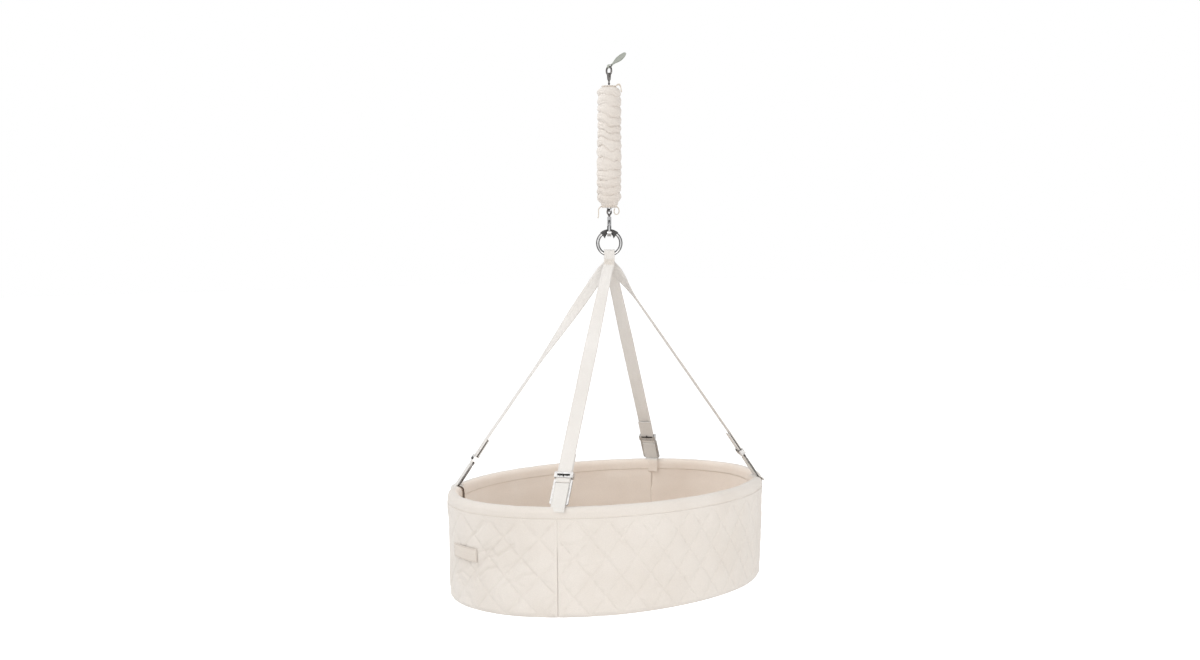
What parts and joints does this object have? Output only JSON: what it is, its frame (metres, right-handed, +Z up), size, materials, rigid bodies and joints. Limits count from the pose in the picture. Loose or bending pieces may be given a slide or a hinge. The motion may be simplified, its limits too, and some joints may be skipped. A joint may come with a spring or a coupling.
{
  "type": "hanging baby cradle",
  "caption": "Oval quilted fabric baby cradle that hangs by webbing straps and a steel ring from a snap hook and a covered extension spring.",
  "frame": {"origin": "the point where the top eye bears on the hook or cord that holds the cradle up", "axes": "+Z up along the hanging line, +X along the basket's long axis away from its label end, +Y across the basket"},
  "size_m": [0.7779, 0.5612, 1.1594],
  "materials": {
    "quilted_cotton": "diamond-quilted brushed cotton, off-white",
    "lining_cotton": "plain-woven cotton, warm beige",
    "cover_cotton": "gathered plain cotton, cream",
    "webbing": "woven cotton webbing, off-white",
    "foam": "polyester foam and fleece wadding",
    "mattress_cotton": "cotton-covered pad, off-white",
    "label_tape": "bare woven patch",
    "cord_cotton": "thin twisted cotton cord",
    "grey_tape": "stiff folded woven tape, mottled grey-green",
    "gunmetal": "dark gunmetal plating, satin",
    "ring_steel": "polished steel wire",
    "spring_steel": "drawn spring steel",
    "dark_rubber": "matt dark rubber",
    "plywood": "thin birch plywood"
  },
  "bodies": {
    "top_eye": {"hang_eye": "gunmetal", "hang_tab": "grey_tape"},
    "top_swivel": {"swivel_pin": "gunmetal"},
    "spring_head": {"spring_top_hook": "spring_steel", "spring": "spring_steel", "spring_cover": "cover_cotton", "cover_top_tie": "cord_cotton"},
    "spring_foot": {"spring_bottom_hook": "spring_steel", "cover_bottom_tie": "cord_cotton"},
    "snap_swivel": {"snap_eye": "gunmetal"},
    "snap": {"snap_hook": "ring_steel", "bolt_spring": "spring_steel"},
    "bolt": {"snap_bolt": "ring_steel"},
    "basket": {"ring": "ring_steel", "ring_sleeve": "dark_rubber", "webbing_left_right": "webbing", "webbing_front_back": "webbing", "frame_front": "gunmetal", "frame_back": "gunmetal", "frame_left": "gunmetal", "frame_right": "gunmetal", "rim_tab_front": "webbing", "rim_tab_back": "webbing", "rim_tab_left": "webbing", "rim_tab_right": "webbing", "rim_rod": "spring_steel", "rim_binding": "quilted_cotton", "outer_panel_label_end": "quilted_cotton", "outer_panel_plain_end": "quilted_cotton", "wall_foam": "foam", "lining_label_end": "lining_cotton", "lining_plain_end": "lining_cotton", "base_cover": "quilted_cotton", "base_board": "plywood", "floor_lining": "lining_cotton", "label_patch": "label_tape"},
    "slider_front": {"slider_front": "gunmetal"},
    "slider_back": {"slider_back": "gunmetal"},
    "slider_left": {"slider_left": "gunmetal"},
    "slider_right": {"slider_right": "gunmetal"},
    "mattress": {"mattress": "mattress_cotton"}
  },
  "joints": [
    {"name": "top_turn", "type": "hinge", "parent": "top_eye", "child": "top_swivel", "pos_m": [0, 0, -0.02], "axis": [0, 0, 1], "continuous": true},
    {"name": "swing_lengthwise", "type": "hinge", "parent": "top_swivel", "child": "spring_head", "pos_m": [0, 0, -0.046], "axis": [0, 1, 0], "range_deg": [-25, 25]},
    {"name": "spring_stretch", "type": "slide", "parent": "spring_head", "child": "spring_foot", "axis": [0, 0, -1], "range_m": [0, 0.12], "stiffness_N_per_m": 900, "springref_m": -0.065, "deforming": ["spring", "spring_cover"]},
    {"name": "swing_crosswise", "type": "hinge", "parent": "spring_foot", "child": "snap_swivel", "pos_m": [0, 0, -0.30675], "axis": [1, 0, 0], "range_deg": [-25, 25]},
    {"name": "snap_turn", "type": "hinge", "parent": "snap_swivel", "child": "snap", "pos_m": [0, 0, -0.335], "axis": [0, 0, 1], "continuous": true},
    {"name": "bolt_slide", "type": "slide", "parent": "snap", "child": "bolt", "axis": [0, 0, 1], "range_m": [0, 0.008], "stiffness_N_per_m": 400, "springref_m": -0.006, "deforming": ["bolt_spring"]},
    {"name": "ring_tilt", "type": "hinge", "parent": "snap", "child": "basket", "pos_m": [0, 0, -0.3548], "axis": [0.7547, -0.6561, 0], "range_deg": [-20, 20]},
    {"name": "slider_front_slide", "type": "slide", "parent": "basket", "child": "slider_front", "axis": [0.4782, 0.2854, 0.8306], "range_m": [0, 0.04]},
    {"name": "slider_back_slide", "type": "slide", "parent": "basket", "child": "slider_back", "axis": [-0.4782, -0.2854, 0.8306], "range_m": [0, 0.04]},
    {"name": "slider_left_slide", "type": "slide", "parent": "basket", "child": "slider_left", "axis": [0.4782, -0.2854, 0.8306], "range_m": [0, 0.04]},
    {"name": "slider_right_slide", "type": "slide", "parent": "basket", "child": "slider_right", "axis": [-0.4782, 0.2854, 0.8306], "range_m": [0, 0.04]},
    {"name": "mattress_lift", "type": "slide", "parent": "basket", "child": "mattress", "axis": [0, 0, 1], "range_m": [0, 0.12]}
  ]
}
